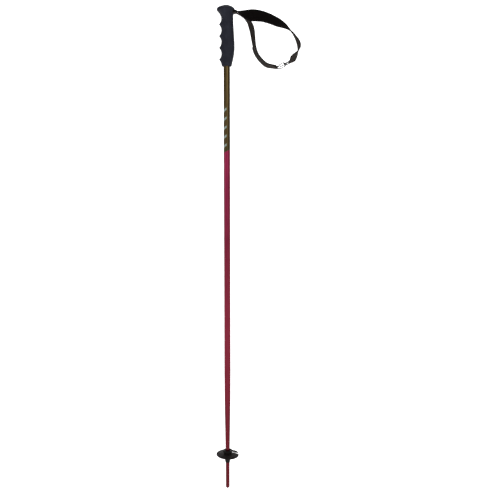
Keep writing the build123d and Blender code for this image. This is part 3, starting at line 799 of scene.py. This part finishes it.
# Rows of place, width direction, width and thickness from mouth stations.
def routeRows(route, width=None, thick=None):
    route = np.array(route, float)
    centres = route[:, :3] + mouth
    ways = widthWays(centres, route[:, 3])
    width = route[:, 4:5] if width is None else np.full((len(route), 1), width)
    thick = route[:, 5:6] if thick is None else np.full((len(route), 1), thick)
    return np.concatenate([centres, ways, width, thick], axis=1)


# The pad's faces swell a little between the places where the hand flattens them.
def padRipple(along, w):
    return 0.10 * np.sin(along / 7.5) * (1 - w**2) * easeStep(along, 12, 30)


padFrames = ribbonFrames(routeRows(padRoute))
strapPad = ribbon(
    "strapPad", padFrames, padFinish, binding=0.22, channel=0.16, crown=0.12, ripple=padRipple
)
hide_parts("strap_pad")

# One strip from the slot down the lower run, over the slider, through it and back as the tail.
lowerCentres = np.array(lowerRoute[::-1], float)[:, :3] + mouth
lowerTilts = np.array(lowerRoute[::-1], float)[:, 3]
overCentres = atSlider(overSlider[::-1])
runCentres = np.concatenate([lowerCentres, overCentres])
runTilts = np.concatenate([lowerTilts, np.full(len(overCentres), strap["sliderTilt"])])
backwards = runCentres[::-1]
runWays = widthWays(backwards, runTilts[::-1])
runNormals = np.cross(unit(np.gradient(backwards, axis=0)), runWays)
firstTail = len(overSlider) + 1
tailCentres = (backwards + runNormals * strap["layerStep"])[firstTail:firstTail + tailLayers]
tailCentres[-1] = tailCentres[-2:].mean(axis=0)   # the tail ends between two of the stations
tailWays = runWays[firstTail:firstTail + tailLayers]
foldCentres = atSlider(throughSlider[::-1])
underCentres = atSlider(underSlider)
stripCentres = np.concatenate([runCentres, foldCentres, underCentres, tailCentres])
stripWays = np.concatenate([
    runWays[::-1], np.tile(sliderY, (len(foldCentres) + len(underCentres), 1)), tailWays,
])
sizes = np.tile([strap["width"], strap["thickness"]], (len(stripCentres), 1))
stripFrames = ribbonFrames(np.concatenate([stripCentres, stripWays, sizes], axis=1), 0.8)
webbing = ribbon("strapWebbing", stripFrames, webFinish, binding=0.05)
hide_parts("webbing_lower", "webbing_fold", "webbing_tail")

# The tab is one strip too: down the outer layer, round the slider's end bar, up the inner one.
tabRows = routeRows(tabRoute, strap["width"], strap["thickness"])
tabRun = unit(np.gradient(tabRows[:, :3], axis=0))
tabNormal = np.cross(tabRun, tabRows[:, 3:6])
layer = strap["thickness"] / 2 + 0.06
outerLeg, innerLeg = tabRows.copy(), tabRows[::-1].copy()
outerLeg[:, :3] += tabNormal * layer
innerLeg[:, :3] -= tabNormal[::-1] * layer
eyeTurn = np.radians(np.linspace(-78, -292, 9))
eyePairs = strap["eyeRadius"] * np.stack([np.cos(eyeTurn), np.sin(eyeTurn)], axis=1)
eyePairs[:, 0] += strap["endBar"]
eyeRest = np.concatenate([sliderY, [strap["width"], strap["thickness"]]])
eye = np.concatenate([atSlider(eyePairs), np.tile(eyeRest, (len(eyeTurn), 1))], axis=1)
tabFrames = ribbonFrames(np.concatenate([outerLeg, eye, innerLeg]), 0.8)
sliderTab = ribbon("sliderTab", tabFrames, webFinish, binding=0.05)
place(sliderTab, "strap", "strap_webbing", "slider_tab")

# Inside the grip the webbing goes round the anchor pin between the pad and the lower run.
legs = strap["layerOffset"]
loopTurn = np.radians(np.linspace(90, 270, 9))
loopPlaces = np.concatenate([
    [[strap["legEnd"] + 3, 0, legs], [pinAt[0] + 5, 0, legs]],
    np.stack([pinAt[0] + legs * np.cos(loopTurn), 0 * loopTurn, legs * np.sin(loopTurn)], axis=1),
    [[pinAt[0] + 5, 0, -legs], [strap["legEnd"] + 3, 0, -legs]],
]) + [0, 0, pinAt[2]]
loopRest = np.tile([0, 1.0, 0, strap["width"], strap["thickness"]], (len(loopPlaces), 1))
loopRows = np.concatenate([loopPlaces, loopRest], axis=1)
loopFrames = ribbonFrames(loopRows, 0.6)
endLoop = ribbon("strapEndLoop", loopFrames, webFinish)
place(endLoop, "pole", "strap_webbing", "strap_end_loop")
print("stage 5: strap")


# ---- stitching

# One stitch as a spindle: radius sqrt(1 - t^2) from end to end, six-sided.
def stitches(name, places, run, normal, material, length=2.0, radius=0.26):
    t = np.linspace(-1, 1, 6)[:, None]
    turn = np.linspace(0, fullTurn, 7)[None, :]
    fat = radius * np.sqrt(1 - t**2)
    side = np.cross(run, normal)
    expand = lambda vectors: vectors[:, None, None, :]
    grid = (
        expand(places) + expand(run) * (t * length / 2 + 0 * turn)[None, ..., None]
        + expand(side) * (fat * np.cos(turn))[None, ..., None]
        + expand(normal) * (fat * np.sin(turn))[None, ..., None]
    )
    return makePiece(name, [(grid, np.zeros(grid.shape[:-1] + (2,)))], material, sharp=80)


# Places on a ribbon's face at a distance along it and a share of its half width across.
def onRibbon(frames, along, w, face, above):
    def pick(key):
        columns = [np.interp(along, frames["along"], frames[key][:, k]) for k in range(3)]
        return np.stack(columns, axis=1)

    width, thick = (np.interp(along, frames["along"], frames[key]) for key in ("width", "thick"))
    normal = unit(pick("normal")) * face
    where = pick("centre") + pick("side") * (w * width / 2)[:, None] + normal * (thick / 2 + above)[:, None]
    return where, unit(pick("run")), normal


seamPlaces, seamRuns, seamNormals = [], [], []
padLength = padFrames["along"][-1]
seamAlong = np.arange(22.0, padLength - 14, 3.1)
for w in (-0.82, 0.82):
    for face in (1, -1):
        found = onRibbon(padFrames, seamAlong, w, face, -0.08)
        for store, value in zip((seamPlaces, seamRuns, seamNormals), found):
            store.append(value)
seams = [np.concatenate(v) for v in (seamPlaces, seamRuns, seamNormals)]
padSeams = stitches("padSeams", *seams, threadFinish)
place(padSeams, "strap", "strap_webbing")


# A sewn box with a cross in it, on one face of a ribbon: the four sides and two diagonals.
def boxStitch(frames, first, last, w, face, above, step=1.9):
    a, b = np.array([first, last], float), np.array([-w, w])
    corners = [(a[0], b[0]), (a[0], b[1]), (a[1], b[1]), (a[1], b[0]), (a[0], b[0]), (a[1], b[1])]
    corners += [(a[0], b[1]), (a[1], b[0])]
    places, runs, normals = [], [], []
    for (s0, w0), (s1, w1) in list(zip(corners, corners[1:]))[:5] + [(corners[6], corners[7])]:
        widthHere = np.interp((s0 + s1) / 2, frames["along"], frames["width"]) / 2
        count = max(2, int(np.hypot(s1 - s0, (w1 - w0) * widthHere) / step))
        t = (np.arange(count) + 0.5) / count
        where, run, normal = onRibbon(frames, s0 + (s1 - s0) * t, w0 + (w1 - w0) * t, face, above)
        side = np.cross(normal, run)
        way = unit(run * (s1 - s0) + side * ((w1 - w0) * widthHere) * (1 if face > 0 else -1))
        places.append(where), runs.append(way), normals.append(normal)
    return tuple(np.concatenate(v) for v in (places, runs, normals))


boxNear, boxFar = 2.5, 14.0   # from the tab's cut ends, in millimetres
tabLength = tabFrames["along"][-1]
tabBox = boxStitch(tabFrames, boxNear, boxFar, 0.74, 1, 0.02)
tabBoxBack = boxStitch(tabFrames, tabLength - boxFar, tabLength - boxNear, 0.74, 1, 0.02)
boxes = [np.concatenate([a, b]) for a, b in zip(tabBox, tabBoxBack)]
tabSeams = stitches("tabSeams", *boxes, threadFinish, length=1.5, radius=0.24)
place(tabSeams, "strap", "strap_webbing")

tailEnd = stripFrames["along"][-1]
hem = [onRibbon(stripFrames, np.full(9, tailEnd - back), np.linspace(-0.84, 0.84, 9), face, 0.0)
       for back in (3.0, 5.2) for face in (1, -1)]
hemPlaces, hemRuns, hemNormals = (np.concatenate([h[k] for h in hem]) for k in range(3))
hemSeams = stitches(
    "tailHemSeams", hemPlaces, np.cross(hemNormals, hemRuns), hemNormals, threadFinish, length=1.7
)
place(hemSeams, "strap", "strap_webbing")


# ---- slider

slider = {"length": 20.6, "width": 26.0, "thick": 1.8, "bar": 2.9, "sideBar": 2.4, "corner": 3.2,
          "windowCorner": 0.9}


# Outline of a rounded rectangle, by angle: a superellipse-like corner from clipped directions.
def roundedBox(halfX, halfY, corner, steps):
    quarter = np.linspace(0, pi / 2, steps)
    arcs = []
    for k, (sx, sy) in enumerate(((1, 1), (-1, 1), (-1, -1), (1, -1))):
        a = quarter + k * pi / 2
        arcs.append(np.stack([
            sx * (halfX - corner) + corner * np.cos(a), sy * (halfY - corner) + corner * np.sin(a)
        ], axis=1))
    outline = np.concatenate(arcs)
    return np.concatenate([outline, outline[:1]])


# Maps slider-plane coordinates to their place in the pole's frame.
def fromSlider(local):
    x, y, z = local[..., :1], local[..., 1:2], local[..., 2:3]
    return strap["sliderAt"] + x * sliderX + y * sliderY + z * sliderZ


# The slider: a ring between two rounded outlines with a rounded section, and a round-edged bar.
def triGlide():
    s = slider
    outer = roundedBox(s["length"] / 2, s["width"] / 2, s["corner"], 7)
    inner = roundedBox(s["length"] / 2 - s["bar"], s["width"] / 2 - s["sideBar"], s["windowCorner"], 7)
    section = np.linspace(0, fullTurn, 21)
    squash = lambda v: np.sign(v) * np.abs(v) ** 0.55
    c, h = (1 + squash(np.cos(section))) / 2, squash(np.sin(section)) * s["thick"] / 2
    flat = inner[:, None] + (outer - inner)[:, None] * c[None, :, None]
    ring = np.concatenate([flat, np.broadcast_to(h[None, :, None], flat.shape[:2] + (1,))], axis=-1)
    along = np.linspace(-1, 1, 9)[:, None] * (s["width"] / 2 - s["sideBar"] * 0.6)
    bar = np.stack(np.broadcast_arrays(
        squash(np.cos(section))[None, :] * s["bar"] / 2, along, h[None, :]
    ), axis=-1)
    ends = [np.stack([bar[k], bar[k].mean(axis=0, keepdims=True).repeat(21, axis=0)]) for k in (0, -1)]
    grids = [fromSlider(g) for g in (ring, bar, *ends)]
    patches = [(g, np.zeros(g.shape[:-1] + (2,))) for g in grids]
    return makePiece("strapSlider", patches, sliderFinish, sharp=55)


sliderPiece = triGlide()
place(sliderPiece, "slider", "slider_plastic", "strap_slider")

for piece in (strapPad, webbing):
    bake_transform(piece)
print("stage 6: stitching and slider")


# ---- floor, light and camera

studio = {"half": 7.0, "floor": -0.04, "wallAt": 3.2, "bend": 1.6, "height": 6.0,
          "airLight": 0.20, "airSeen": 0.97, "floorGlow": 0.72}


# A sweep: flat floor, a quarter circle, then a wall behind.
def studioSweep():
    s = studio
    turn = np.linspace(0, pi / 2, 25)
    y = np.concatenate([[-6.0], s["wallAt"] + s["bend"] * np.sin(turn), [s["wallAt"] + s["bend"]]])
    z = s["floor"] + np.concatenate([[0.0], s["bend"] - s["bend"] * np.cos(turn), [s["height"]]])
    x = np.array([-s["half"], s["half"]])
    grid = np.stack(np.broadcast_arrays(x[None, :], y[:, None], z[:, None]), axis=-1)
    material, tree, shader, spot, _ = startMaterial(
        "paleSweep", Roughness=0.9, Specular_IOR_Level=0.1,
        Emission_Color=(1, 1, 1, 1), Emission_Strength=s["floorGlow"],
    )
    soft = remap(tree, grain(tree, spot, 1.5, 2.0), 0.3, 0.7, 0, 1)
    wire(tree, shader, blendTones(tree, soft, tone(252, 252, 252), tone(248, 248, 248)))
    return makePiece("studioSweep", [(grid / mm, np.zeros((len(y), 2, 2)))], material)


sweep = studioSweep()
if sweep.data.polygons[0].normal.z < 0:
    sweep.data.flip_normals()
sweep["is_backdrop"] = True


# A square soft light at a place, its -Z turned towards a target.
def softLight(name, at, target, size, watts):
    data = bpy.data.lights.new(name, "AREA")
    data.shape, data.size, data.energy = "SQUARE", size, watts
    light = bpy.data.objects.new(name, data)
    bpy.context.scene.collection.objects.link(light)
    light.location = at
    way = Vector(target) - Vector(at)
    light.rotation_euler = way.to_track_quat("-Z", "Y").to_euler()
    return light


softLight("keyLight", (0.7, -2.2, 1.9), (0.03, 0, 0.8), 0.9, 13)
softLight("fillLight", (-1.9, -1.7, 1.2), (0.0, 0, 0.7), 0.8, 4)
softLight("topLight", (0.0, 1.2, 4.8), (0, 1.2, 0.0), 4.5, 110)

world = bpy.data.worlds.new("studioAir")
bpy.context.scene.world = world
world.use_nodes = True
air = world.node_tree
seen = put(air, "LightPath").outputs["Is Camera Ray"]
extra = calc(air, "MULTIPLY", seen, studio["airSeen"] - studio["airLight"])
brightness = calc(air, "ADD", studio["airLight"], extra)
air.links.new(brightness, air.nodes["Background"].inputs["Strength"])
air.nodes["Background"].inputs["Color"].default_value = (1, 1, 1, 1)

view = {"place": (0.0587, -1.750, 0.824), "pitch": 84.007, "roll": 0.067, "lens": 49.275}
cameraData = bpy.data.cameras.new("studioCamera")
cameraData.lens, cameraData.sensor_width = view["lens"], 36.0
cameraData.clip_start, cameraData.clip_end = 0.05, 60
camera = bpy.data.objects.new("studioCamera", cameraData)
bpy.context.scene.collection.objects.link(camera)
camera.location = view["place"]
pitched = Matrix.Rotation(radians(view["pitch"]), 3, "X")
camera.rotation_euler = (pitched @ Matrix.Rotation(radians(view["roll"]), 3, "Z")).to_euler()
bpy.context.scene.camera = camera
bpy.context.scene.view_settings.view_transform = "Standard"
print("stage 7: studio")

lookLow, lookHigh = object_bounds()
boxes = {"cad": [list(cadLow), list(cadHigh)], "look": [list(lookLow), list(lookHigh)]}
